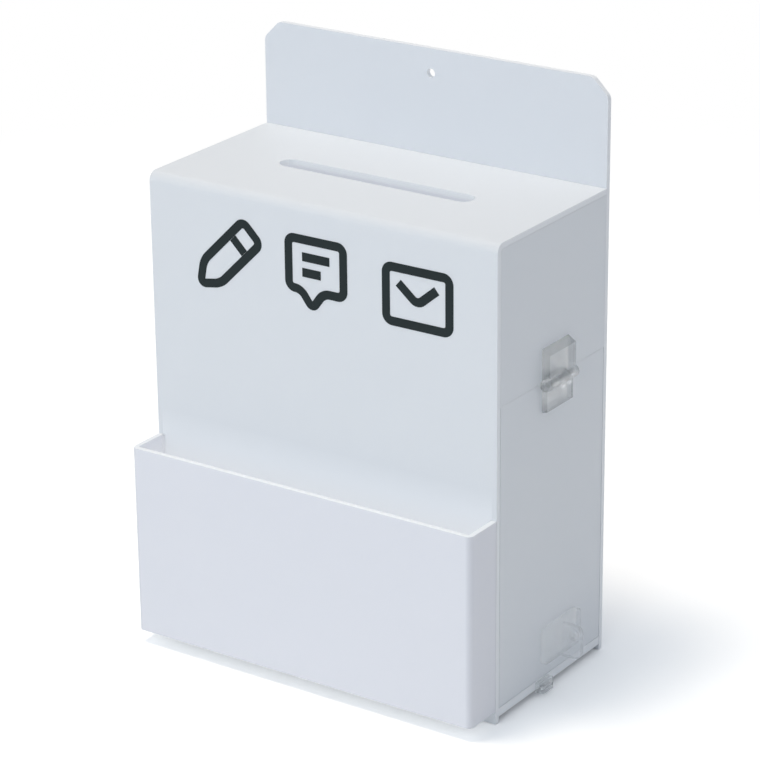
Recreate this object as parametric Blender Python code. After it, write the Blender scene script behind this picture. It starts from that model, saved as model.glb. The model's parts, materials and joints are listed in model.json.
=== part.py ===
# White acrylic suggestion box: a heat-bent front and top, a tall back panel to hang it by, a leaflet
# pocket, and a side door on a clear moulded hinge, held shut at its foot by a clear hasp.
# Lengths are in metres. Places are counted from the box's own front left corner on the floor, with x to
# the right, y to the back and z up. One empty carries that corner, so that the middle of the whole
# outline stands over the origin.

import math

import bmesh
import bpy
from mathutils import Matrix, Vector

# Box
box_width = 0.215
box_depth = 0.104
box_height = 0.262
sheet = 0.003
bend_radius = 0.005
glue_gap = 0.0003
edge_ease = 0.00025
cut_overrun = 0.004

# Back panel
back_sheet = 0.003
back_height = 0.320
corner_cut = 0.0095
corner_softening = 0.002
hanging_hole_radius = 0.0025
hanging_hole_drop = 0.0135

# Posting slot
slot_length = 0.120
slot_width = 0.012

# Base plate
base_sheet = 0.005
base_lift = 0.0033

# Leaflet pocket
pocket_depth = 0.024
pocket_height = 0.1075
pocket_lift = 0.0073
pocket_sheet = 0.003
pocket_bend_radius = 0.004
pocket_floor_sheet = 0.003

# Side door and the strips it shuts against
door_end_clearance = 0.0005
door_foot_clearance = 0.0006
door_seam = 0.0004
stop_sheet = 0.003
stop_width = 0.008
stop_clearance = 0.0004
stop_top_margin = 0.020

# Hinge
hinge_width = 0.0254
hinge_middle = 0.0547
hinge_height = 0.1755
barrel_radius = 0.0034
upper_leaf_length = 0.0188
upper_leaf_thickness = 0.0046
upper_leaf_slope = 0.0028
lower_leaf_length = 0.016
lower_leaf_thickness = 0.0032
lower_leaf_slope = 0.0008
middle_knuckle = 0.0088
knuckle_clearance = 0.00035
pin_radius = 0.0011
pin_clearance = 0.0003
pin_head_radius = 0.003
pin_head_length = 0.0027
pin_head_rounding = 0.0012
pin_tip_length = 0.002
pin_tip_rounding = 0.0005

# Door hasp
door_leaf_thickness = 0.003
door_leaf_front = 0.043
door_leaf_width = 0.036
door_leaf_foot = 0.0165
door_leaf_height = 0.0205
door_leaf_rounding = 0.003
door_tab_front = 0.0576
door_tab_thickness = 0.003
door_tab_reach = 0.016
door_tab_drop = 0.001
door_tab_lift = 0.0005
door_tab_rounding = 0.0045
door_eye_radius = 0.0025
door_eye_reach = 0.0112
door_eye_height = 0.030

# Base hasp
base_lug_thickness = 0.0047
base_lug_front = 0.0385
base_lug_width = 0.0115
base_lug_foot = 0.0022
base_lug_rounding = 0.0018
base_eye_radius = 0.0013

# Steps of the round parts, and the angles in degrees above which an edge is eased or stays sharp
round_steps = 32
corner_steps = 6
bend_steps = 8
ease_angle = 40
sharp_angle = 35

# Places worked out from the sizes above
panel_front = sheet + glue_gap
panel_back = box_depth - glue_gap
panel_top = box_height - sheet - glue_gap
panel_foot = base_lift + base_sheet + glue_gap
panel_rounding = bend_radius - sheet - glue_gap
leaf_face = box_width + glue_gap
hinge_x = leaf_face + barrel_radius
door_foot = base_lift + base_sheet + door_foot_clearance
door_front = sheet + door_end_clearance
door_back = box_depth - door_end_clearance
door_top = hinge_height - door_seam / 2
upper_side_foot = hinge_height + door_seam / 2
hinge_centre = Vector((hinge_x, hinge_middle, hinge_height))
outline_right = box_width + door_tab_reach
outline_back = box_depth + back_sheet
frame_place = Vector((-outline_right / 2, (pocket_depth - outline_back) / 2, 0))


# Materials
def make_material(name, colour, roughness, transmission=0.0):
    material = bpy.data.materials.new(name)
    material.use_nodes = True
    shader = material.node_tree.nodes["Principled BSDF"]
    shader.inputs["Base Color"].default_value = (*colour, 1.0)
    shader.inputs["Roughness"].default_value = roughness
    shader.inputs["Transmission Weight"].default_value = transmission
    material.diffuse_color = (*colour, 1.0)
    return material


def white_acrylic():
    return make_material("white acrylic", (0.86, 0.88, 0.90), 0.22)


def clear_acrylic():
    return make_material("clear acrylic", (0.78, 0.83, 0.85), 0.08, transmission=0.9)


# Outlines
def arc(centre, radius, start, end, steps):
    turns = [math.radians(start + (end - start) * step / steps) for step in range(steps + 1)]
    return [(centre[0] + radius * math.cos(turn), centre[1] + radius * math.sin(turn)) for turn in turns]


def rounded_corner(before, corner, after, radius):
    to_before = (before - corner).normalized()
    to_after = (after - corner).normalized()
    half = to_before.angle(to_after) / 2
    centre = corner + (to_before + to_after).normalized() * radius / math.sin(half)
    start = corner + to_before * radius / math.tan(half) - centre
    sweep = math.copysign(math.pi - 2 * half, to_after.cross(to_before))
    turns = [sweep * step / corner_steps for step in range(corner_steps + 1)]
    return [tuple(centre + Matrix.Rotation(turn, 2) @ start) for turn in turns]


def outline(*corners):
    # Each corner is two coordinates and the radius that rounds it, or zero.
    spots = [Vector(corner[:2]) for corner in corners]
    points = []
    for number, spot in enumerate(spots):
        radius = corners[number][2]
        before = spots[number - 1]
        after = spots[(number + 1) % len(spots)]
        points += rounded_corner(before, spot, after, radius) if radius else [tuple(spot)]
    return points


def rectangle(low, high, radius=0):
    corners = [(low[0], low[1]), (high[0], low[1]), (high[0], high[1]), (low[0], high[1])]
    return outline(*[(*corner, radius) for corner in corners])


# Solids
def lift(bm, faces, travel):
    lifted = bmesh.ops.extrude_face_region(bm, geom=faces)
    moved = [item for item in lifted["geom"] if isinstance(item, bmesh.types.BMVert)]
    bmesh.ops.translate(bm, verts=moved, vec=travel)
    bmesh.ops.recalc_face_normals(bm, faces=bm.faces)


def plate(points, axis, start, thickness):
    # The outline lies square to the axis, 0 for x, 1 for y and 2 for z, and is drawn out along it.
    bm = bmesh.new()
    face = bm.faces.new([bm.verts.new(point[:axis] + (start,) + point[axis:]) for point in points])
    travel = Vector((0, 0, 0))
    travel[axis] = thickness
    lift(bm, [face], travel)
    return bm


def folded_sheet(path, travel, radius):
    # One face for each straight run, facing out, with the folds between them rounded.
    bm = bmesh.new()
    near = [bm.verts.new(point) for point in path]
    far = [bm.verts.new(Vector(point) + travel) for point in path]
    for number in range(len(path) - 1):
        bm.faces.new((near[number], far[number], far[number + 1], near[number + 1]))
    folds = [edge for edge in bm.edges if len(edge.link_faces) == 2]
    bmesh.ops.bevel(bm, geom=folds, offset=radius, offset_type="OFFSET", segments=bend_steps, profile=0.5,
                    affect="EDGES")
    return bm


def rod(centre, radius, length):
    # A round bar along y, or a round cutter.
    bm = bmesh.new()
    bmesh.ops.create_cone(bm, cap_ends=True, segments=round_steps, radius1=radius, radius2=radius,
                          depth=length)
    bmesh.ops.rotate(bm, verts=bm.verts, cent=(0, 0, 0), matrix=Matrix.Rotation(math.radians(90), 3, "X"))
    bmesh.ops.translate(bm, verts=bm.verts, vec=centre)
    return bm


def turned(profile, centre):
    # The profile is radius and place along y, from one end to the other.
    bm = bmesh.new()
    verts = [bm.verts.new((radius, along, 0)) for radius, along in profile]
    edges = [bm.edges.new(pair) for pair in zip(verts, verts[1:])]
    bmesh.ops.spin(bm, geom=verts + edges, cent=(0, 0, 0), axis=(0, 1, 0), angle=math.tau, steps=round_steps,
                   use_merge=True)
    bmesh.ops.dissolve_degenerate(bm, dist=glue_gap / round_steps, edges=bm.edges)
    bmesh.ops.recalc_face_normals(bm, faces=bm.faces)
    bmesh.ops.translate(bm, verts=bm.verts, vec=centre)
    return bm


# Objects
def add_empty(name, place, parent=None):
    empty = bpy.data.objects.new(name, None)
    bpy.context.scene.collection.objects.link(empty)
    empty.location = place
    empty.parent = parent
    return empty


def add_piece(name, bm, place, material, parent):
    # The shape and its place are both given from the box's corner.
    bmesh.ops.translate(bm, verts=bm.verts, vec=-Vector(place))
    mesh = bpy.data.meshes.new(name)
    bm.to_mesh(mesh)
    bm.free()
    mesh.materials.append(material)
    piece = bpy.data.objects.new(name, mesh)
    bpy.context.scene.collection.objects.link(piece)
    piece.parent = parent
    piece.location = Vector(place) - (parent.location if parent.parent else Vector((0, 0, 0)))
    return piece


def combine(piece, tool_name, bm, operation):
    tool = add_piece(tool_name, bm, (0, 0, 0), piece.data.materials[0], piece.parent)
    tool.hide_render = True
    tool.display_type = "WIRE"
    modifier = piece.modifiers.new(tool_name, "BOOLEAN")
    modifier.operation = operation
    modifier.solver = "EXACT"
    modifier.object = tool


def cut(piece, tool_name, bm):
    combine(piece, tool_name, bm, "DIFFERENCE")


def join(piece, tool_name, bm):
    combine(piece, tool_name, bm, "UNION")


def give_thickness(piece, thickness):
    modifier = piece.modifiers.new("thickness", "SOLIDIFY")
    modifier.thickness = thickness
    modifier.offset = -1
    modifier.use_even_offset = True


def smooth(piece):
    piece.data.shade_smooth()
    piece.data.set_sharp_from_angle(angle=math.radians(sharp_angle))


def finish(piece):
    modifier = piece.modifiers.new("eased edges", "BEVEL")
    modifier.width = edge_ease
    modifier.segments = 1
    modifier.limit_method = "ANGLE"
    modifier.angle_limit = math.radians(ease_angle)
    smooth(piece)


# Case
def build_front_top(frame):
    path = [(0, 0, 0), (0, 0, box_height), (0, panel_back, box_height)]
    bm = folded_sheet(path, Vector((box_width, 0, 0)), bend_radius)
    piece = add_piece("front_top_sheet", bm, (0, 0, 0), white_acrylic(), frame)
    give_thickness(piece, sheet)
    middle = (box_width / 2, box_depth / 2)
    reach = (slot_length - slot_width) / 2
    ends = arc((middle[0] + reach, middle[1]), slot_width / 2, -90, 90, round_steps // 2)
    ends += arc((middle[0] - reach, middle[1]), slot_width / 2, 90, 270, round_steps // 2)
    low = box_height - sheet - cut_overrun
    cut(piece, "posting_slot_cutter", plate(ends, 2, low, sheet + 2 * cut_overrun))
    finish(piece)


def build_back(frame):
    low = back_height - corner_cut
    far = box_width - corner_cut
    soft = corner_softening
    points = outline((0, 0, 0), (box_width, 0, 0), (box_width, low, soft), (far, back_height, soft),
                     (corner_cut, back_height, soft), (0, low, soft))
    bm = plate(points, 1, box_depth, back_sheet)
    piece = add_piece("back_panel", bm, (0, box_depth, 0), white_acrylic(), frame)
    centre = (box_width / 2, box_depth + back_sheet / 2, back_height - hanging_hole_drop)
    cut(piece, "hanging_hole_cutter", rod(centre, hanging_hole_radius, back_sheet + 2 * cut_overrun))
    finish(piece)


def build_side_panel(frame, name, x, foot):
    points = outline((panel_front, foot, 0), (panel_back, foot, 0), (panel_back, panel_top, 0),
                     (panel_front, panel_top, panel_rounding))
    finish(add_piece(name, plate(points, 0, x, sheet), (x, panel_front, foot), white_acrylic(), frame))


def build_base(frame):
    bm = plate(rectangle((0, panel_front), (box_width, panel_back)), 2, base_lift, base_sheet)
    finish(add_piece("base_plate", bm, (0, panel_front, base_lift), white_acrylic(), frame))


# Leaflet pocket
def build_pocket(frame):
    path = [(box_width, -glue_gap), (box_width, -pocket_depth), (0, -pocket_depth), (0, -glue_gap)]
    path = [(x, y, pocket_lift) for x, y in path]
    bm = folded_sheet(path, Vector((0, 0, pocket_height)), pocket_bend_radius)
    piece = add_piece("pocket_sheet", bm, (0, -pocket_depth, pocket_lift), white_acrylic(), frame)
    give_thickness(piece, pocket_sheet)
    finish(piece)


def build_pocket_floor(frame):
    wall = pocket_sheet + glue_gap
    left = wall
    right = box_width - wall
    front = wall - pocket_depth
    rounding = pocket_bend_radius - wall
    points = outline((left, front, rounding), (right, front, rounding), (right, -glue_gap, 0),
                     (left, -glue_gap, 0))
    bm = plate(points, 2, pocket_lift, pocket_floor_sheet)
    finish(add_piece("pocket_floor", bm, (left, front, pocket_lift), white_acrylic(), frame))


# Side door
def build_door(axis):
    bm = plate(rectangle((door_front, door_foot), (door_back, door_top)), 0, box_width - sheet, sheet)
    finish(add_piece("side_door", bm, hinge_centre, white_acrylic(), axis))


def build_stop(frame, name, y):
    x = box_width - sheet - stop_clearance - stop_sheet
    points = rectangle((y, panel_foot), (y + stop_width, door_top - stop_top_margin))
    finish(add_piece(name, plate(points, 0, x, stop_sheet), (x, y, panel_foot), white_acrylic(), frame))


# Hinge
def leaf_section(length, thickness, slope, side):
    # The barrel's circle runs into a flat back, a flat outer face and a sloped end.
    face = thickness - barrel_radius
    meet = math.degrees(math.acos(face / barrel_radius))
    section = arc((0, 0), barrel_radius, -180, meet, round_steps)
    section += [(face, length - slope), (-barrel_radius, length)]
    return [(hinge_x + x, hinge_height + side * z) for x, z in section]


def cut_knuckle_gap(piece, number, start, end):
    room = barrel_radius + knuckle_clearance
    points = rectangle((leaf_face - cut_overrun, hinge_height - room), (hinge_x + room, hinge_height + room))
    cut(piece, f"{piece.name}_gap_cutter_{number}", plate(points, 1, start, end - start))


def build_leaf(name, parent, section, gaps):
    bm = plate(section, 1, hinge_middle - hinge_width / 2, hinge_width)
    piece = add_piece(name, bm, hinge_centre, clear_acrylic(), parent)
    for number, (start, end) in enumerate(gaps):
        cut_knuckle_gap(piece, number, hinge_middle + start, hinge_middle + end)
    bore = rod(hinge_centre, pin_radius + pin_clearance, hinge_width + 2 * cut_overrun)
    cut(piece, f"{name}_bore_cutter", bore)
    finish(piece)


def build_hinge(frame, axis):
    half = hinge_width / 2
    knuckle = middle_knuckle / 2
    room = knuckle + knuckle_clearance
    upper = leaf_section(upper_leaf_length, upper_leaf_thickness, upper_leaf_slope, 1)
    lower = leaf_section(lower_leaf_length, lower_leaf_thickness, lower_leaf_slope, -1)
    end = half + cut_overrun
    build_leaf("hinge_upper_leaf", frame, upper, [(-room, room)])
    build_leaf("hinge_lower_leaf", axis, lower, [(-end, -knuckle), (knuckle, end)])


def build_pin(frame):
    head_back = -hinge_width / 2 - glue_gap
    head_front = head_back - pin_head_length
    head_turn = (pin_head_radius - pin_head_rounding, head_front + pin_head_rounding)
    tip = hinge_width / 2 + pin_tip_length
    tip_turn = (pin_radius - pin_tip_rounding, tip - pin_tip_rounding)
    profile = [(0, head_front)] + arc(head_turn, pin_head_rounding, -90, 0, corner_steps)
    profile += [(pin_head_radius, head_back), (pin_radius, head_back)]
    profile += arc(tip_turn, pin_tip_rounding, 0, 90, corner_steps) + [(0, tip)]
    piece = add_piece("hinge_pin", turned(profile, hinge_centre), hinge_centre, clear_acrylic(), frame)
    smooth(piece)


# Hasp
def build_door_hasp(axis):
    # A leaf flat on the door, with an upright tab standing square to it.
    foot = door_leaf_foot
    top = foot + door_leaf_height
    leaf = rectangle((door_leaf_front, foot), (door_leaf_front + door_leaf_width, top), door_leaf_rounding)
    piece = add_piece("door_hasp", plate(leaf, 0, leaf_face, door_leaf_thickness), hinge_centre,
                      clear_acrylic(), axis)
    root = leaf_face + door_leaf_thickness / 2
    outer = box_width + door_tab_reach
    tab_foot = foot + door_tab_lift
    tab_top = top - door_tab_drop
    tab = outline((root, tab_foot, 0), (outer, tab_foot, door_tab_rounding),
                  (outer, tab_top, door_tab_rounding), (root, tab_top, 0))
    join(piece, "door_hasp_tab", plate(tab, 1, door_tab_front, door_tab_thickness))
    eye = (box_width + door_eye_reach, door_tab_front + door_tab_thickness / 2, door_eye_height)
    cut(piece, "door_hasp_eye_cutter", rod(eye, door_eye_radius, door_tab_thickness + 2 * cut_overrun))
    finish(piece)


def build_base_hasp(frame):
    # A short lug on the base plate's edge, bored along y for a seal wire.
    outer = leaf_face + base_lug_thickness
    back = base_lug_front + base_lug_width
    height = base_lift + base_sheet - base_lug_foot
    points = outline((leaf_face, base_lug_front, 0), (outer, base_lug_front, base_lug_rounding),
                     (outer, back, base_lug_rounding), (leaf_face, back, 0))
    place = (leaf_face, base_lug_front, base_lug_foot)
    piece = add_piece("base_hasp", plate(points, 2, base_lug_foot, height), place, clear_acrylic(), frame)
    eye = ((leaf_face + outer) / 2, (base_lug_front + back) / 2, base_lug_foot + height / 2)
    cut(piece, "base_hasp_eye_cutter", rod(eye, base_eye_radius, base_lug_width + 2 * cut_overrun))
    finish(piece)


def main():
    for item in list(bpy.data.objects):
        bpy.data.objects.remove(item, do_unlink=True)
    frame = add_empty("box_frame", frame_place)
    axis = add_empty("door_axis", hinge_centre, frame)
    build_front_top(frame)
    build_back(frame)
    build_side_panel(frame, "left_side_panel", 0, panel_foot)
    build_side_panel(frame, "right_side_panel", box_width - sheet, upper_side_foot)
    build_base(frame)
    build_pocket(frame)
    build_pocket_floor(frame)
    build_door(axis)
    build_stop(frame, "door_stop_front", panel_front)
    build_stop(frame, "door_stop_rear", panel_back - stop_width)
    build_hinge(frame, axis)
    build_pin(frame)
    build_door_hasp(axis)
    build_base_hasp(frame)
    bpy.context.view_layer.update()


main()
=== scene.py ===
# White acrylic suggestion box: the looks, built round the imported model.
# Places on the box are in metres from its own front left corner on the floor: x right, y back, z up.

import json
import math

import bmesh
import bpy
from mathutils import Euler, Matrix, Vector


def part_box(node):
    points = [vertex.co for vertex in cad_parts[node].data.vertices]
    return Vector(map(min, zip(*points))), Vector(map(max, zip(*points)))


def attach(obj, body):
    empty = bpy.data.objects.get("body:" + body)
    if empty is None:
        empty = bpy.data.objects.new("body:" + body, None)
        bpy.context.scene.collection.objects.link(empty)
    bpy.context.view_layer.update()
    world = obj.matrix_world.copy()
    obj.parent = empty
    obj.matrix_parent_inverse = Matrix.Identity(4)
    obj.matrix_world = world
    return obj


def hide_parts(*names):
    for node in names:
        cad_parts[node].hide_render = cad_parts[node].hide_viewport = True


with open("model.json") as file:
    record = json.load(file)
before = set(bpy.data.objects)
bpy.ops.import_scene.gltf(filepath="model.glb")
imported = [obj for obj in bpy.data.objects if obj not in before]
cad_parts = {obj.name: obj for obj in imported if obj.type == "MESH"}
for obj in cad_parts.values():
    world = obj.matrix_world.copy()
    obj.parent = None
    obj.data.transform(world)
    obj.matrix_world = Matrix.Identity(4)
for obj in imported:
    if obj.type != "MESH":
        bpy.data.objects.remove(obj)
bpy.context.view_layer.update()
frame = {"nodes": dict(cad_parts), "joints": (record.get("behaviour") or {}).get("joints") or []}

backLow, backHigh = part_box("back_panel")
frontLow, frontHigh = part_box("front_top_sheet")
boxCorner = Vector((backLow.x, frontLow.y, 0.0))
hingeCentre = Vector(frame["joints"][0]["pos_m"])
sheetWall = 0.003     # the opal sheet's thickness
glueGap = 0.00027     # what is closed of the 0.3 mm left between glued sheets
print("frame loaded:", len(frame["nodes"]), "nodes")


# Shader maths
class Value:
    # A socket that can be used in sums, each of which adds its Math node.
    def __init__(self, finish, socket):
        self.finish = finish
        self.socket = socket

    def maths(self, operation, first, second=0.0):
        return self.finish.add("ShaderNodeMath", {"operation": operation}, {0: first, 1: second})

    def __add__(self, other):
        return self.maths("ADD", self, other)

    def __radd__(self, other):
        return self.maths("ADD", other, self)

    def __sub__(self, other):
        return self.maths("SUBTRACT", self, other)

    def __rsub__(self, other):
        return self.maths("SUBTRACT", other, self)

    def __mul__(self, other):
        return self.maths("MULTIPLY", self, other)

    def __rmul__(self, other):
        return self.maths("MULTIPLY", other, self)

    def __gt__(self, other):
        return self.maths("GREATER_THAN", self, other)

    def __abs__(self):
        return self.maths("ABSOLUTE", self)

    def limited(self):
        # Kept from zero to one.
        settings = {"operation": "ADD", "use_clamp": True}
        return self.finish.add("ShaderNodeMath", settings, {0: self, 1: 0.0})


class Finish:
    # A material whose constants go straight to the Principled shader's own sockets.
    def __init__(self, name, sockets):
        self.material = bpy.data.materials.new(name)
        self.material.use_nodes = True
        self.tree = self.material.node_tree
        self.shader = self.tree.nodes["Principled BSDF"]
        for socket, value in sockets.items():
            self.shader.inputs[socket].default_value = value

    def plug(self, value, socket):
        if isinstance(value, Value):
            self.tree.links.new(value.socket, socket)
        else:
            socket.default_value = value

    def add(self, kind, settings, inputs, output=0):
        node = self.tree.nodes.new(kind)
        for key, value in settings.items():
            setattr(node, key, value)
        for key, value in inputs.items():
            self.plug(value, node.inputs[key])
        return Value(self, node.outputs[output])

    def feed(self, socket, value):
        self.plug(value, self.shader.inputs[socket])

    def place(self, output="Object"):
        return self.add("ShaderNodeTexCoord", {}, {}, output)

    def component(self, vector, axis):
        return self.add("ShaderNodeSeparateXYZ", {}, {0: vector}, axis)

    def noise(self, scale, detail=2.0, stretch=(1.0, 1.0, 1.0)):
        spot = self.add("ShaderNodeMapping", {}, {"Vector": self.place(), "Scale": stretch})
        inputs = {"Vector": spot, "Scale": scale, "Detail": detail}
        return self.add("ShaderNodeTexNoise", {}, inputs, "Fac")

    def mix(self, factor, first, second, blend="MIX"):
        settings = {"data_type": "RGBA", "blend_type": blend}
        return self.add("ShaderNodeMix", settings, {0: factor, 6: first, 7: second}, 2)

    def body(self):
        return Value(self, self.shader.outputs["BSDF"])

    def surface(self, value):
        self.plug(value, self.tree.nodes["Material Output"].inputs["Surface"])

    def bump(self, height, strength, distance):
        inputs = {"Height": height, "Strength": strength, "Distance": distance}
        self.feed("Normal", self.add("ShaderNodeBump", {}, inputs))


# Finishes
# Opal sheet lets some light through, which shows on the faces inside the case, the slot and the pocket
# and along the cut edges.
faceMargin = 0.00015      # how far past a corner a place still counts as between two corners
squarely = 0.7            # the share of a normal along an axis from which a face counts as facing that way
pocketDark = 0.130        # the height at which the light inside the pocket has faded out
# The slot's ends are rounded by just under half its width, so that their points don't meet.
slot = {"length": 0.120, "width": 0.012, "middle": 0.052, "endShare": 0.4999, "margin": (0.0005, 0.001)}
slotCentre = Vector(((frontLow.x + frontHigh.x) / 2, boxCorner.y + slot["middle"],
                     frontHigh.z - sheetWall / 2))
slotReach = (slot["length"] / 2 + slot["margin"][0], slot["width"] / 2 + slot["margin"][1])
slotInside = {"low": (slotCentre.x - slotReach[0], slotCentre.y - slotReach[1], frontHigh.z - sheetWall),
              "high": (slotCentre.x + slotReach[0], slotCentre.y + slotReach[1],
                       frontHigh.z - 2 * faceMargin)}
caseInside = {"low": (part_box("left_side_panel")[1].x, frontLow.y + sheetWall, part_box("base_plate")[1].z),
              "high": (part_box("right_side_panel")[0].x, backLow.y, frontHigh.z - sheetWall)}
pocketInside = {"low": (caseInside["low"][0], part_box("pocket_sheet")[0].y + sheetWall,
                        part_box("pocket_floor")[1].z),
                "high": (caseInside["high"][0], frontLow.y, pocketDark)}
opal = {
    "cool": (0.790, 0.818, 0.846, 1.0),
    "warm": (0.806, 0.830, 0.854, 1.0),
    # lighter cut edges: partly their sawn look, partly painted light
    "cutEdge": (0.860, 0.880, 0.900, 1.0),
    # painted shade for the folds and other faces that turn between two axes
    "fold": (0.735, 0.760, 0.786, 1.0),
    # painted shade on the back sheet and painted light on the pocket sheet, for how light falls on them
    "backPaintedShade": (0.965, 0.970, 0.985, 1.0),
    "pocketPaintedLight": (1.045, 1.025, 1.045, 1.0),
    "caseLight": (0.152, 0.150, 0.154, 1.0),
    "slotLight": (0.080, 0.081, 0.078, 1.0),
    "pocketLight": (0.160, 0.157, 0.151, 1.0),
    "edgeLight": (0.030, 0.031, 0.033, 1.0),
    "pocketFade": 0.029,
    "foldShadeGain": 2.0,
    "cloudScale": 11.0,
    "smearScale": 26.0,
    "smearDetail": 4.0,
    "smearStretch": (1.0, 1.0, 0.25),
    "peelScale": 140.0,
    "sawScale": 900.0,
    "sawDetail": 1.0,
    "sawStretch": 0.06,
    "specular": 0.32,
    "roughness": 0.44,
    "smearDepth": 0.10,
    "cutRoughness": 0.10,
    "bumpStrength": 0.05,
    "bumpDistance": 0.0004,
    "subsurface": 0.15,
    "subsurfaceScale": 0.003,
}


def within(finish, place, low, high):
    # One between two corners, and nothing outside them.
    inside = 1.0
    for axis in range(3):
        along = finish.component(place, axis)
        inside = (along > low[axis] - faceMargin) * inside
        inside = inside * (1.0 - (along > high[axis] + faceMargin))
    return inside


def lightThrough(finish, place, cut, inSlot):
    # Even inside the case and the slot, and fading out towards the pocket's rim.
    fade = ((pocketDark - finish.component(place, 2)) * (1 / opal["pocketFade"])).limited()
    inPocket = within(finish, place, pocketInside["low"], pocketInside["high"]) * fade
    inCase = within(finish, place, caseInside["low"], caseInside["high"])
    light = finish.mix(cut, (0.0, 0.0, 0.0, 1.0), opal["edgeLight"])
    light = finish.mix(inSlot, light, opal["slotLight"])
    light = finish.mix(inPocket, light, opal["pocketLight"])
    finish.feed("Emission Color", finish.mix(inCase, light, opal["caseLight"]))


def opalAcrylic(name, axis, edgeAlong, paintedShading=(1.0, 1.0, 1.0, 1.0)):
    # The axis is the one a flat sheet faces. On a bent sheet it is the one its fold runs along,
    # and edgeAlong says that the cut edges face along it. The painted shading darkens or lightens one sheet
    # against the others for the light that falls on it: painted shade on the back, painted light on the
    # pocket.
    finish = Finish(name, {
        "Specular IOR Level": opal["specular"],
        "Subsurface Weight": opal["subsurface"],
        "Subsurface Radius": (1.0, 1.0, 1.0),
        "Subsurface Scale": opal["subsurfaceScale"],
        "Emission Strength": 1.0,
    })
    normal = finish.place("Normal")
    x, y, z = [finish.component(normal, number) for number in range(3)]
    along = abs((x, y, z)[axis]) > squarely
    place = finish.place()
    inSlot = within(finish, place, slotInside["low"], slotInside["high"])
    cut = along if edgeAlong else 1.0 - along
    # Painted shade: faces that turn between two axes, as on the folds, are darkened against the light they
    # catch from both the top and the front.
    fold = ((abs(x * y) + abs(y * z) + abs(z * x)) * opal["foldShadeGain"]).limited() * (1.0 - inSlot)
    cloud = finish.noise(opal["cloudScale"])
    smear = finish.noise(opal["smearScale"], opal["smearDetail"], opal["smearStretch"])
    sawn = (1.0, 1.0, opal["sawStretch"]) if axis < 2 else (1.0, opal["sawStretch"], 1.0)
    saw = finish.noise(opal["sawScale"], opal["sawDetail"], sawn)
    sheet = finish.mix(fold, finish.mix(cloud, opal["cool"], opal["warm"]), opal["fold"])
    sheet = finish.mix(1.0, sheet, paintedShading, "MULTIPLY")
    # Cut edges are lighter: partly the sawn edge's own look, partly painted light that the sheet carries out
    # to its edges.
    finish.feed("Base Color", finish.mix(cut, sheet, opal["cutEdge"]))
    finish.feed("Roughness", opal["roughness"] + smear * opal["smearDepth"] + cut * opal["cutRoughness"])
    lightThrough(finish, place, cut, inSlot)
    peel = finish.noise(opal["peelScale"])
    finish.bump(peel * (1.0 - cut) + saw * cut, opal["bumpStrength"], opal["bumpDistance"])
    return finish.material


# The clear finish needs the hinge's sizes too.
hinge = {"barrel": 0.0034, "upperThickness": 0.0046, "upperSlope": 0.0028, "lowerThickness": 0.0032,
         "lowerSlope": 0.0008, "knuckle": 0.0088, "clearance": 0.00035, "bore": 0.0014, "pin": 0.0011,
         "headRadius": 0.003, "headLength": 0.0027, "easing": 0.0004, "pinEasing": 0.0005}
clear = {
    "tint": (0.815, 0.828, 0.832, 1.0),
    "deep": (0.750, 0.770, 0.775, 1.0),
    "lampTint": (0.84, 0.86, 0.87, 1.0),
    "ior": 1.45,
    "transmission": 0.88,
    "roughness": 0.10,
    "knuckleReach": 1.2,      # times the barrel's radius, up or down from its middle
    "backward": 0.5,          # the shares of a normal from which a face counts as looking back or down
    "downward": 0.25,
    # edge colours: painted shade on the hinge, painted highlights on the hasp and the lug
    "hingeEdgeShade": (0.500, 0.520, 0.530, 1.0),
    "hingeAlpha": (0.50, 0.82),
    "haspEdgeHighlight": (0.940, 0.950, 0.960, 1.0),
    "haspAlpha": (0.30, 0.40),
    "lugEdgeHighlight": (0.820, 0.850, 0.870, 1.0),
    "lugAlpha": (0.45, 0.58),
    "glintPlaces": (0.0032, 0.0098),
    "glintDrop": 0.0059,
    "glintLength": 0.0027,
    "glintHeight": 0.0014,
    "glintLight": 0.75,
    "wearScale": 320.0,
    "wearDetail": 3.0,
    "wearDepth": 0.07,
    "flowScale": 90.0,
    "flowStretch": (1.0, 1.0, 0.4),
    "flowStrength": 0.08,
    "flowDistance": 0.0004,
}


def knuckleGlints(finish, place):
    # The round knuckles gather the lamp's light into small bright spots on the leaf below them.
    y, z = [finish.component(place, number) for number in (1, 2)]
    down = 1.0 - abs(z - (hingeCentre.z - clear["glintDrop"])) * (1 / clear["glintHeight"])
    glints = 0.0
    for spot in clear["glintPlaces"]:
        along = 1.0 - abs(y - (hingeCentre.y + spot)) * (1 / clear["glintLength"])
        glints = along.limited() + glints
    return down.limited() * glints * clear["glintLight"]


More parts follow.
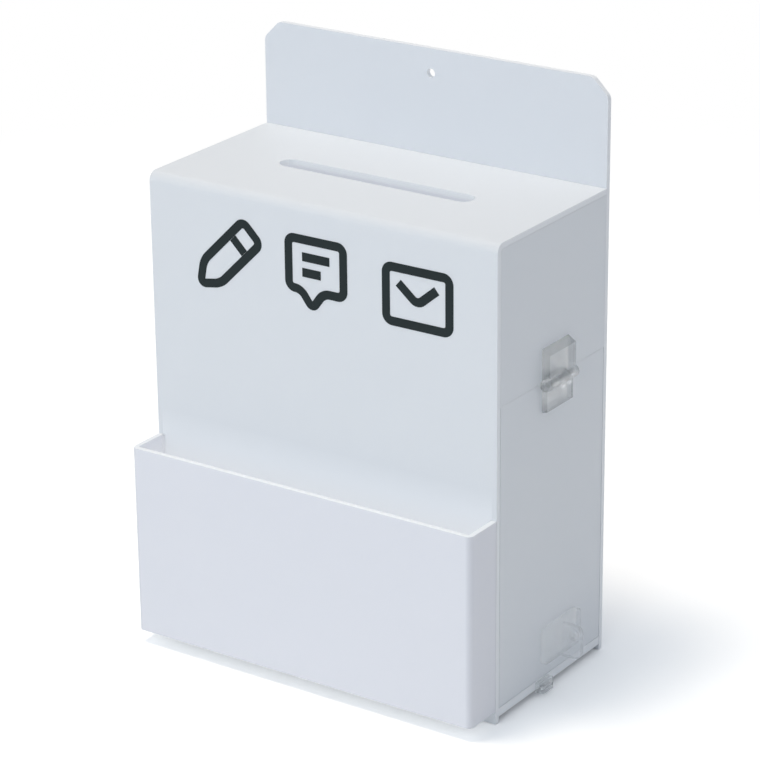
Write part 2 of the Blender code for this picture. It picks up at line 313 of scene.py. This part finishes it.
def clearAcrylic(name, edgeShading, alphas, glints=False):
    # Edges are the more solid, as they are seen through the plastic's length: the faces that look up, down
    # or forward, and of the round knuckles only the undersides. These faces also take the edge colour, which
    # is painted shade on the hinge, darkest as a painted dark line under the knuckles, and a painted
    # highlight on the hasp and the lug. Without glints the finish gives no light.
    finish = Finish(name, {
        "IOR": clear["ior"],
        "Transmission Weight": clear["transmission"],
        "Emission Strength": float(glints),
    })
    normal = finish.place("Normal")
    x, y, z = [finish.component(normal, number) for number in range(3)]
    place = finish.place()
    height = finish.component(place, 2)
    flat = abs(height - hingeCentre.z) > hinge["barrel"] * clear["knuckleReach"]
    rim = (1.0 - (abs(x) > squarely)) * (1.0 - (y > clear["backward"])) * flat
    # Painted shade under the knuckles: their undersides take the edge colour.
    knuckleShade = (z * -1.0 > clear["downward"]) * (1.0 - flat)
    edge = (rim + knuckleShade).limited()
    if glints:
        finish.feed("Emission Color", knuckleGlints(finish, place))
    flow = finish.noise(clear["flowScale"], stretch=clear["flowStretch"])
    wear = finish.noise(clear["wearScale"], clear["wearDetail"])
    finish.feed("Base Color", finish.mix(edge, finish.mix(flow, clear["tint"], clear["deep"]), edgeShading))
    finish.feed("Alpha", alphas[0] + edge * (alphas[1] - alphas[0]))
    finish.feed("Roughness", clear["roughness"] + wear * clear["wearDepth"])
    finish.bump(flow, clear["flowStrength"], clear["flowDistance"])
    # Rays from lamps go straight through, so that the sheet behind isn't in full shadow.
    lamp = finish.add("ShaderNodeLightPath", {}, {}, "Is Shadow Ray")
    through = finish.add("ShaderNodeBsdfTransparent", {}, {"Color": clear["lampTint"]})
    finish.surface(finish.add("ShaderNodeMixShader", {}, {0: lamp, 1: finish.body(), 2: through}))
    return finish.material


vinyl = {
    "dark": (0.010, 0.018, 0.020, 1.0),
    "light": (0.015, 0.025, 0.027, 1.0),
    "cloudScale": 60.0,
    "grainScale": 700.0,
    "specular": 0.18,
    "roughness": 0.42,
    "grainDepth": 0.14,
    "bumpStrength": 0.06,
    "bumpDistance": 0.0001,
}


def markVinyl():
    finish = Finish("mark vinyl", {"Specular IOR Level": vinyl["specular"]})
    grain = finish.noise(vinyl["grainScale"])
    finish.feed("Base Color", finish.mix(finish.noise(vinyl["cloudScale"]), vinyl["dark"], vinyl["light"]))
    finish.feed("Roughness", vinyl["roughness"] + grain * vinyl["grainDepth"])
    finish.bump(grain, vinyl["bumpStrength"], vinyl["bumpDistance"])
    return finish.material


sheetFacingX = opalAcrylic("opal sheet facing sideways", 0, False)
sheetFacingY = opalAcrylic("opal sheet facing forward", 1, False, opal["backPaintedShade"])
sheetFacingZ = opalAcrylic("opal sheet lying flat", 2, False)
sheetFoldedAlongX = opalAcrylic("opal sheet folded across", 0, True)
sheetFoldedAlongZ = opalAcrylic("opal sheet folded upright", 2, True, opal["pocketPaintedLight"])
hingePlastic = clearAcrylic("clear hinge", clear["hingeEdgeShade"], clear["hingeAlpha"], True)
haspPlastic = clearAcrylic("clear hasp", clear["haspEdgeHighlight"], clear["haspAlpha"])
lugPlastic = clearAcrylic("clear lug", clear["lugEdgeHighlight"], clear["lugAlpha"])
darkVinyl = markVinyl()
print("finishes made:", len(bpy.data.materials))


# Modelling helpers
# How finely each curve is divided
steps = {"fold": 24, "slotEnd": 24, "backCorner": 8, "innerCorner": 12, "pocketCorner": 8, "bead": 32,
         "leafCorner": 12, "tabCorner": 16, "lugCorner": 12, "markCorner": 8, "easing": 3, "pin": 64,
         "rod": 96}
parallel = 0.99       # the share of an edge's length along an axis from which it counts as running that way
sharpAngle = math.radians(50)
easedAngle = math.radians(40)


def slab(low, high):
    bm = bmesh.new()
    bmesh.ops.create_cube(bm, size=1.0)
    bmesh.ops.scale(bm, verts=bm.verts, vec=Vector(high) - Vector(low))
    bmesh.ops.translate(bm, verts=bm.verts, vec=(Vector(high) + Vector(low)) / 2)
    return bm


def rod(centre, radius, length):
    bm = bmesh.new()
    bmesh.ops.create_cone(bm, cap_ends=True, segments=steps["rod"], radius1=radius, radius2=radius,
                          depth=length)
    bmesh.ops.rotate(bm, verts=bm.verts, cent=(0, 0, 0), matrix=Matrix.Rotation(math.pi / 2, 3, "X"))
    bmesh.ops.translate(bm, verts=bm.verts, vec=centre)
    return bm


def edgesAlong(bm, axis, test):
    found = []
    for edge in bm.edges:
        step = edge.verts[1].co - edge.verts[0].co
        middle = (edge.verts[0].co + edge.verts[1].co) / 2
        if abs(step[axis]) > parallel * step.length and test(middle):
            found.append(edge)
    return found


def roundOff(bm, edges, radius, segments):
    bmesh.ops.bevel(bm, geom=edges, offset=radius, offset_type="OFFSET", affect="EDGES", segments=segments,
                    profile=0.5, material=-1)


def foldedSheet(path, travel, radius):
    # A run of faces with rounded folds, given its wall inwards.
    bm = bmesh.new()
    verts = [bm.verts.new(point) for point in path]
    edges = [bm.edges.new(pair) for pair in zip(verts, verts[1:])]
    lifted = bmesh.ops.extrude_edge_only(bm, edges=edges)
    moved = [item for item in lifted["geom"] if isinstance(item, bmesh.types.BMVert)]
    bmesh.ops.translate(bm, verts=moved, vec=travel)
    roundOff(bm, [edge for edge in bm.edges if len(edge.link_faces) == 2], radius, steps["fold"])
    middle = sum((vert.co for vert in bm.verts), Vector()) / len(bm.verts)
    widest = max(bm.faces, key=lambda face: face.calc_area())
    widest.normal_update()
    if widest.normal.dot(widest.calc_center_median() - middle) < 0:
        bmesh.ops.reverse_faces(bm, faces=bm.faces)
    bmesh.ops.solidify(bm, geom=bm.faces, thickness=sheetWall)
    bmesh.ops.recalc_face_normals(bm, faces=bm.faces)
    return bm


def meshObject(name, bm):
    mesh = bpy.data.meshes.new(name)
    bm.to_mesh(mesh)
    bm.free()
    piece = bpy.data.objects.new(name, mesh)
    bpy.context.scene.collection.objects.link(piece)
    return piece


def combine(piece, bm, operation):
    # The tool is used up: the piece keeps the result as its own mesh.
    tool = meshObject("tool", bm)
    modifier = piece.modifiers.new("shape", "BOOLEAN")
    modifier.operation = operation
    modifier.solver = "EXACT"
    modifier.object = tool
    evaluated = piece.evaluated_get(bpy.context.evaluated_depsgraph_get())
    piece.data = bpy.data.meshes.new_from_object(evaluated)
    piece.modifiers.clear()
    bpy.data.objects.remove(tool)


def dress(piece, material, body, easing, replaced=None):
    piece.data.materials.clear()
    piece.data.materials.append(material)
    piece.data.shade_smooth()
    piece.data.set_sharp_from_angle(angle=sharpAngle)
    if easing:
        bevel = piece.modifiers.new("eased edges", "BEVEL")
        bevel.width = easing
        bevel.segments = steps["easing"]
        bevel.limit_method = "ANGLE"
        bevel.angle_limit = easedAngle
    even = piece.modifiers.new("even shading", "WEIGHTED_NORMAL")
    even.keep_sharp = False
    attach(piece, body)
    if replaced:
        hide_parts(replaced)


def grown(node, left=0.0, right=0.0, front=0.0, back=0.0, down=0.0, up=0.0):
    # A node's box, made larger on the sides that are named.
    low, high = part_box(node)
    return low - Vector((left, front, down)), high + Vector((right, back, up))


# Case
case = {"foldRadius": 0.005, "easing": 0.0004, "cornerCut": 0.0095, "cornerSoftening": 0.002,
        "softeningReach": 1.5, "holeRadius": 0.0025, "holeDrop": 0.0135, "overrun": 0.004,
        "seamClosing": 0.00016, "seamEasing": 0.00006, "footClosing": 0.0003}


def makeFrontAndTop():
    low, high = grown("front_top_sheet", back=glueGap)
    path = [(low.x, low.y, low.z), (low.x, low.y, high.z), (low.x, high.y, high.z)]
    bm = foldedSheet(path, (high.x - low.x, 0, 0), case["foldRadius"])
    piece = meshObject("front_and_top", bm)
    half = Vector((slot["length"], slot["width"], sheetWall + 2 * case["overrun"])) / 2
    cutter = slab(slotCentre - half, slotCentre + half)
    upright = edgesAlong(cutter, 2, lambda spot: True)
    roundOff(cutter, upright, slot["width"] * slot["endShare"], steps["slotEnd"])
    combine(piece, cutter, "DIFFERENCE")
    dress(piece, sheetFoldedAlongX, "case", case["easing"], "front_top_sheet")


def makeBack():
    # The upper corners are cut off straight, and then the two edges that each cut leaves are softened.
    bm = slab(backLow, backHigh)
    cut = case["cornerCut"]
    roundOff(bm, edgesAlong(bm, 1, lambda spot: spot.z > backHigh.z - cut), cut, 1)
    reach = case["softeningReach"] * cut
    edges = edgesAlong(bm, 1, lambda spot: spot.z > backHigh.z - reach)
    roundOff(bm, edges, case["cornerSoftening"], steps["backCorner"])
    piece = meshObject("back", bm)
    centre = Vector(((backLow.x + backHigh.x) / 2, (backLow.y + backHigh.y) / 2,
                     backHigh.z - case["holeDrop"]))
    combine(piece, rod(centre, case["holeRadius"], sheetWall + 2 * case["overrun"]), "DIFFERENCE")
    dress(piece, sheetFacingY, "case", case["easing"], "back_panel")


def makeSide(name, node, easing, **growth):
    low, high = grown(node, front=glueGap, back=glueGap, up=glueGap, **growth)
    bm = slab(low, high)
    inner = case["foldRadius"] - sheetWall
    middle = (low.y + high.y) / 2
    corner = edgesAlong(bm, 0, lambda spot: spot.y < middle and spot.z > high.z - inner)
    roundOff(bm, corner, inner, steps["innerCorner"])
    dress(meshObject(name, bm), sheetFacingX, "case", easing, node)


def makeBase():
    bm = slab(*grown("base_plate", front=glueGap, back=glueGap))
    dress(meshObject("base", bm), sheetFacingZ, "case", case["easing"], "base_plate")


def makeDoor():
    bm = slab(*grown("side_door", up=case["seamClosing"], down=case["footClosing"]))
    dress(meshObject("door", bm), sheetFacingX, "door", case["seamEasing"], "side_door")


def makeStop(name, node, **growth):
    bm = slab(*grown(node, down=glueGap, **growth))
    dress(meshObject(name, bm), sheetFacingX, "case", case["easing"], node)


# Leaflet pocket
pocket = {"foldRadius": 0.0034, "bead": 0.0011, "beadGap": 0.00004}


def makePocket():
    low, high = grown("pocket_sheet", back=glueGap)
    path = [(high.x, high.y, low.z), (high.x, low.y, low.z), (low.x, low.y, low.z),
            (low.x, high.y, low.z)]
    piece = meshObject("pocket", foldedSheet(path, (0, 0, high.z - low.z), pocket["foldRadius"]))
    dress(piece, sheetFoldedAlongZ, "case", case["easing"], "pocket_sheet")


def makePocketFloor():
    low, high = grown("pocket_floor", left=glueGap, right=glueGap, front=glueGap, back=glueGap)
    bm = slab(low, high)
    middle = (low.y + high.y) / 2
    corners = edgesAlong(bm, 2, lambda spot: spot.y < middle)
    roundOff(bm, corners, pocket["foldRadius"] - sheetWall, steps["pocketCorner"])
    piece = meshObject("pocket_base", bm)
    dress(piece, sheetFacingZ, "case", case["easing"], "pocket_floor")


def makeCementBead(name, side):
    # A quarter round of white cement in the corner between the pocket's end wall and the front.
    low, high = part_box("pocket_sheet")
    gap = pocket["beadGap"]
    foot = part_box("pocket_floor")[1].z + gap
    top = high.z - case["easing"] - gap
    edge = low.x if side > 0 else high.x
    corner = Vector((edge + side * (sheetWall + gap), boxCorner.y - gap, 0))
    bm = bmesh.new()
    bmesh.ops.create_cone(bm, cap_ends=True, segments=steps["bead"], radius1=pocket["bead"],
                          radius2=pocket["bead"], depth=top - foot)
    bmesh.ops.translate(bm, verts=bm.verts, vec=corner + Vector((0, 0, (top + foot) / 2)))
    for outward in ((-side, 0, 0), (0, 1, 0)):
        parts = list(bm.verts) + list(bm.edges) + list(bm.faces)
        cut = bmesh.ops.bisect_plane(bm, geom=parts, plane_co=corner, plane_no=outward, clear_outer=True)
        rim = [item for item in cut["geom_cut"] if isinstance(item, bmesh.types.BMEdge)]
        bmesh.ops.holes_fill(bm, edges=rim, sides=0)
    bmesh.ops.recalc_face_normals(bm, faces=bm.faces)
    dress(meshObject(name, bm), sheetFoldedAlongZ, "case", 0.0)


makeFrontAndTop()
makeBack()
makeSide("left_side", "left_side_panel", case["easing"], down=glueGap)
makeSide("right_side", "right_side_panel", case["seamEasing"], down=case["seamClosing"])
makeBase()
makeDoor()
makeStop("front_stop", "door_stop_front", front=glueGap)
makeStop("rear_stop", "door_stop_rear", back=glueGap)
makePocket()
makePocketFloor()
makeCementBead("left_cement_bead", 1)
makeCementBead("right_cement_bead", -1)
print("case and pocket made")


# Hinge
def makeLeaf(name, node, body, thickness, slope, up, gaps):
    # A plate with one sloped end and a barrel, in which the gaps leave room for the other leaf's knuckles.
    low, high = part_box(node)
    face = low.x + thickness
    end = high.z if up > 0 else low.z
    zRange = sorted((hingeCentre.z, end))
    bm = slab((low.x, low.y, zRange[0]), (face, high.y, zRange[1]))
    for vert in bm.verts:
        if vert.co.x > face - slope / 2 and abs(vert.co.z - end) < slope / 2:
            vert.co.z -= up * slope
    piece = meshObject(name, bm)
    combine(piece, rod(hingeCentre, hinge["barrel"], high.y - low.y), "UNION")
    room = hinge["barrel"] + hinge["clearance"]
    corner = Vector((room + hinge["barrel"], 0, room))
    for start, stop in gaps:
        gapLow = hingeCentre - corner + Vector((0, start, 0))
        gapHigh = hingeCentre + corner + Vector((0, stop, 0))
        combine(piece, slab(gapLow, gapHigh), "DIFFERENCE")
    combine(piece, rod(hingeCentre, hinge["bore"], 2 * (high.y - low.y)), "DIFFERENCE")
    dress(piece, hingePlastic, body, hinge["easing"], node)


def makePin():
    low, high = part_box("hinge_pin")
    headBack = low.y + hinge["headLength"]
    profile = [(0, low.y), (hinge["headRadius"], low.y), (hinge["headRadius"], headBack),
               (hinge["pin"], headBack), (hinge["pin"], high.y), (0, high.y)]
    bm = bmesh.new()
    verts = [bm.verts.new((hingeCentre.x + radius, y, hingeCentre.z)) for radius, y in profile]
    edges = [bm.edges.new(pair) for pair in zip(verts, verts[1:])]
    bmesh.ops.spin(bm, geom=verts + edges, cent=hingeCentre, axis=(0, 1, 0), angle=math.tau,
                   steps=steps["pin"], use_merge=True)
    bmesh.ops.remove_doubles(bm, verts=bm.verts, dist=0.00001)    # the points on the axis
    bmesh.ops.recalc_face_normals(bm, faces=bm.faces)
    dress(meshObject("pin", bm), hingePlastic, "case", hinge["pinEasing"], "hinge_pin")


hingeHalf = (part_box("hinge_upper_leaf")[1].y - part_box("hinge_upper_leaf")[0].y) / 2
knuckleHalf = hinge["knuckle"] / 2
knuckleRoom = knuckleHalf + hinge["clearance"]
makeLeaf("upper_leaf", "hinge_upper_leaf", "case", hinge["upperThickness"], hinge["upperSlope"], 1,
         [(-knuckleRoom, knuckleRoom)])
makeLeaf("lower_leaf", "hinge_lower_leaf", "door", hinge["lowerThickness"], hinge["lowerSlope"], -1,
         [(-2 * hingeHalf, -knuckleHalf), (knuckleHalf, 2 * hingeHalf)])
makePin()
print("hinge made")


# Hasp
hasp = {"leafThickness": 0.003, "leafRounding": 0.003, "leafFoot": 0.0165, "tabPlace": 0.0576,
        "tabThickness": 0.003, "tabRounding": 0.0045, "tabLift": 0.0005, "tabDrop": 0.001,
        "eyeRadius": 0.0025, "eyePlace": 0.2262, "eyeHeight": 0.030, "lugRounding": 0.0018,
        "lugEye": 0.0013, "easing": 0.00045}


def makeDoorHasp():
    # A leaf flat on the door, and a tab with an eye that stands out from it.
    low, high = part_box("door_hasp")
    foot = hasp["leafFoot"]
    bm = slab((low.x, low.y, foot), (low.x + hasp["leafThickness"], high.y, high.z))
    roundOff(bm, edgesAlong(bm, 0, lambda spot: True), hasp["leafRounding"], steps["leafCorner"])
    piece = meshObject("door_lug", bm)
    root = low.x + hasp["leafThickness"] / 2
    tabFront = boxCorner.y + hasp["tabPlace"]
    tabLow = (root, tabFront, foot + hasp["tabLift"])
    tabHigh = (high.x, tabFront + hasp["tabThickness"], high.z - hasp["tabDrop"])
    bm = slab(tabLow, tabHigh)
    middle = (root + high.x) / 2
    outer = edgesAlong(bm, 1, lambda spot: spot.x > middle)
    roundOff(bm, outer, hasp["tabRounding"], steps["tabCorner"])
    combine(piece, bm, "UNION")
    eye = Vector((boxCorner.x + hasp["eyePlace"], tabFront + hasp["tabThickness"] / 2, hasp["eyeHeight"]))
    combine(piece, rod(eye, hasp["eyeRadius"], 3 * hasp["tabThickness"]), "DIFFERENCE")
    dress(piece, haspPlastic, "door", hasp["easing"], "door_hasp")


def makeBaseHasp():
    low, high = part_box("base_hasp")
    bm = slab(low, high)
    middle = (low + high) / 2
    outer = edgesAlong(bm, 2, lambda spot: spot.x > middle.x)
    roundOff(bm, outer, hasp["lugRounding"], steps["lugCorner"])
    piece = meshObject("base_lug", bm)
    combine(piece, rod(middle, hasp["lugEye"], 2 * (high.y - low.y)), "DIFFERENCE")
    dress(piece, lugPlastic, "case", hasp["easing"], "base_hasp")


makeDoorHasp()
makeBaseHasp()
print("hasp made")


# Front marks: a pencil, a speech bubble and an envelope
marks = {"stroke": 0.0048, "film": 0.00012, "rounding": 0.0035, "height": 0.2245, "tilt": math.radians(45),
         "pencilPlace": 0.0497, "bubblePlace": 0.1059, "envelopePlace": 0.1679}


def addStroke(bm, points, closed, place, tilt=0.0):
    # A line down the middle of the stroke, drawn out to the film's thickness, with its corners rounded.
    turn = Matrix.Rotation(tilt, 2)
    spots = [turn @ Vector(point) for point in points]
    base = boxCorner + Vector((place, 0, marks["height"]))
    verts = [bm.verts.new((base.x + spot.x, base.y, base.z + spot.y)) for spot in spots]
    pairs = list(zip(verts, verts[1:])) + ([(verts[-1], verts[0])] if closed else [])
    lifted = bmesh.ops.extrude_edge_only(bm, edges=[bm.edges.new(pair) for pair in pairs])
    moved = [item for item in lifted["geom"] if isinstance(item, bmesh.types.BMVert)]
    bmesh.ops.translate(bm, verts=moved, vec=(0, -marks["film"], 0))
    corners = [edge for vert in moved for edge in vert.link_edges if len(edge.link_faces) == 2]
    if corners:
        roundOff(bm, corners, marks["rounding"], steps["markCorner"])


def makeMark(name, strokes, place, tilt=0.0):
    bm = bmesh.new()
    for points, closed in strokes:
        addStroke(bm, points, closed, place, tilt)
    piece = meshObject(name, bm)
    wide = piece.modifiers.new("stroke", "SOLIDIFY")
    wide.thickness = marks["stroke"]
    wide.offset = 0
    wide.use_even_offset = True
    dress(piece, darkVinyl, "case", 0.0)    # the record has no vinyl, so a mark takes no slot


# Each line's points, right and up from its mark's middle, and whether it closes
pencil = [([(-0.0252, 0), (-0.0143, -0.0076), (0.0225, -0.0076), (0.0225, 0.0076),
            (-0.0143, 0.0076)], True),
          ([(0.0105, -0.0051), (0.0105, 0.0051)], False)]
bubble = [([(-0.0170, 0.0185), (0.0170, 0.0185), (0.0170, -0.0085), (0.0045, -0.0085),
            (-0.0025, -0.0180), (-0.0095, -0.0085), (-0.0170, -0.0085)], True),
          ([(-0.0085, 0.0092), (0.0085, 0.0092)], False),
          ([(-0.0085, 0.0008), (0.0030, 0.0008)], False)]
envelope = [([(-0.0190, 0.0145), (0.0190, 0.0145), (0.0190, -0.0145), (-0.0190, -0.0145)], True),
            ([(-0.0115, 0.0066), (0, -0.0030), (0.0115, 0.0066)], False)]
makeMark("pencil_mark", pencil, marks["pencilPlace"], marks["tilt"])
makeMark("bubble_mark", bubble, marks["bubblePlace"])
makeMark("envelope_mark", envelope, marks["envelopePlace"])
print("front marks made")


# Floor, lights and camera
studio = {"floorSize": 8.0, "floorDrop": 0.0002, "floorColour": (0.80, 0.805, 0.81, 1.0),
          "floorRoughness": 0.7, "floorSpecular": 0.1, "floorGain": (0.61, 0.595, 0.565, 1.0),
          "pocketGlow": 0.125, "glowFade": 0.006, "whiteFrom": 0.60, "whiteFade": 0.40,
          "ambient": 0.53, "ambientColour": (0.87, 0.92, 1.0, 1.0), "lampsAim": (0, 0, 0.15)}
lamps = [
    {"name": "key", "power": 22.3, "size": 0.70, "towards": (-0.19, -0.15, 0.95), "distance": 2.4,
     "colour": (1.0, 0.91, 0.79)},
    {"name": "front fill", "power": 16.4, "size": 2.2, "towards": (-0.05, -1.0, 0.38), "distance": 2.4,
     "colour": (0.85, 0.93, 1.0)},
]


def pocketGlow(finish):
    # Light that the opal pocket lets through to the floor below it, halfway faded at its outline.
    low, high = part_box("pocket_sheet")
    middle = (low + high) / 2
    half = (high - low) / 2
    glow = studio["pocketGlow"]
    for axis in (0, 1):
        along = finish.component(finish.place(), axis)
        inside = (half[axis] - abs(along - middle[axis])) * (1 / studio["glowFade"]) + 0.5
        glow = inside.limited() * glow
    return glow


def makeFloor():
    # What the camera sees of the floor, also in clear plastic, is lighter than what it sends to the box,
    # so that it comes out white but for the box's own shadow. Far from the box it fades to plain white.
    bm = bmesh.new()
    bmesh.ops.create_grid(bm, x_segments=1, y_segments=1, size=studio["floorSize"] / 2)
    bmesh.ops.translate(bm, verts=bm.verts, vec=(0, 0, -studio["floorDrop"]))
    floor = meshObject("floor", bm)
    finish = Finish("floor", {
        "Base Color": studio["floorColour"],
        "Roughness": studio["floorRoughness"],
        "Specular IOR Level": studio["floorSpecular"],
        "Emission Strength": 1.0,
    })
    finish.feed("Emission Color", pocketGlow(finish))
    gain = finish.add("ShaderNodeBsdfDiffuse", {}, {"Color": studio["floorGain"]})
    lighter = finish.add("ShaderNodeAddShader", {}, {0: finish.body(), 1: gain})
    paths = [finish.add("ShaderNodeLightPath", {}, {}, name)
             for name in ("Is Camera Ray", "Is Glossy Ray", "Is Transmission Ray")]
    seen = (paths[0] + paths[1] + paths[2]).limited()
    away = finish.add("ShaderNodeVectorMath", {"operation": "LENGTH"}, {0: finish.place()}, "Value")
    far = ((away - studio["whiteFrom"]) * (1 / studio["whiteFade"])).limited()
    white = finish.add("ShaderNodeEmission", {}, {"Color": (1.0, 1.0, 1.0, 1.0), "Strength": 1.0})
    backdrop = finish.add("ShaderNodeMixShader", {}, {0: far, 1: lighter, 2: white})
    finish.surface(finish.add("ShaderNodeMixShader", {}, {0: seen, 1: finish.body(), 2: backdrop}))
    floor.data.materials.append(finish.material)


def makeWorld():
    world = bpy.data.worlds.new("studio")
    world.use_nodes = True
    bpy.context.scene.world = world
    tree = world.node_tree
    path = tree.nodes.new("ShaderNodeLightPath")
    background = tree.nodes["Background"]
    background.inputs["Color"].default_value = studio["ambientColour"]
    background.inputs["Strength"].default_value = studio["ambient"]
    white = tree.nodes.new("ShaderNodeBackground")
    white.inputs["Color"].default_value = (1, 1, 1, 1)
    mix = tree.nodes.new("ShaderNodeMixShader")
    tree.links.new(path.outputs["Is Camera Ray"], mix.inputs[0])
    tree.links.new(background.outputs[0], mix.inputs[1])
    tree.links.new(white.outputs[0], mix.inputs[2])
    tree.links.new(mix.outputs[0], tree.nodes["World Output"].inputs["Surface"])


def makeLamp(settings):
    lamp = bpy.data.lights.new(settings["name"], "AREA")
    lamp.energy = settings["power"]
    lamp.size = settings["size"]
    lamp.color = settings["colour"]
    holder = bpy.data.objects.new(settings["name"], lamp)
    bpy.context.scene.collection.objects.link(holder)
    towards = Vector(settings["towards"]).normalized()
    holder.location = towards * settings["distance"] + Vector(studio["lampsAim"])
    holder.rotation_euler = towards.to_track_quat("Z", "Y").to_euler()


# Fitted to the photograph's edges: the turn is in degrees, the lens and sensor in millimetres
view = {"place": (0.88831, -1.29157, 0.77638), "turn": (68.4157, 0.5275, 34.2891), "lens": 152.266,
        "sensor": 36.0}


def makeCamera():
    lens = bpy.data.cameras.new("camera")
    lens.sensor_width = view["sensor"]
    lens.lens = view["lens"]
    camera = bpy.data.objects.new("camera", lens)
    bpy.context.scene.collection.objects.link(camera)
    camera.location = view["place"]
    camera.rotation_euler = Euler([math.radians(angle) for angle in view["turn"]])
    bpy.context.scene.camera = camera


makeFloor()
makeWorld()
for settings in lamps:
    makeLamp(settings)
makeCamera()
bpy.context.scene.view_settings.view_transform = "Standard"
print("studio made")

bpy.context.view_layer.update()
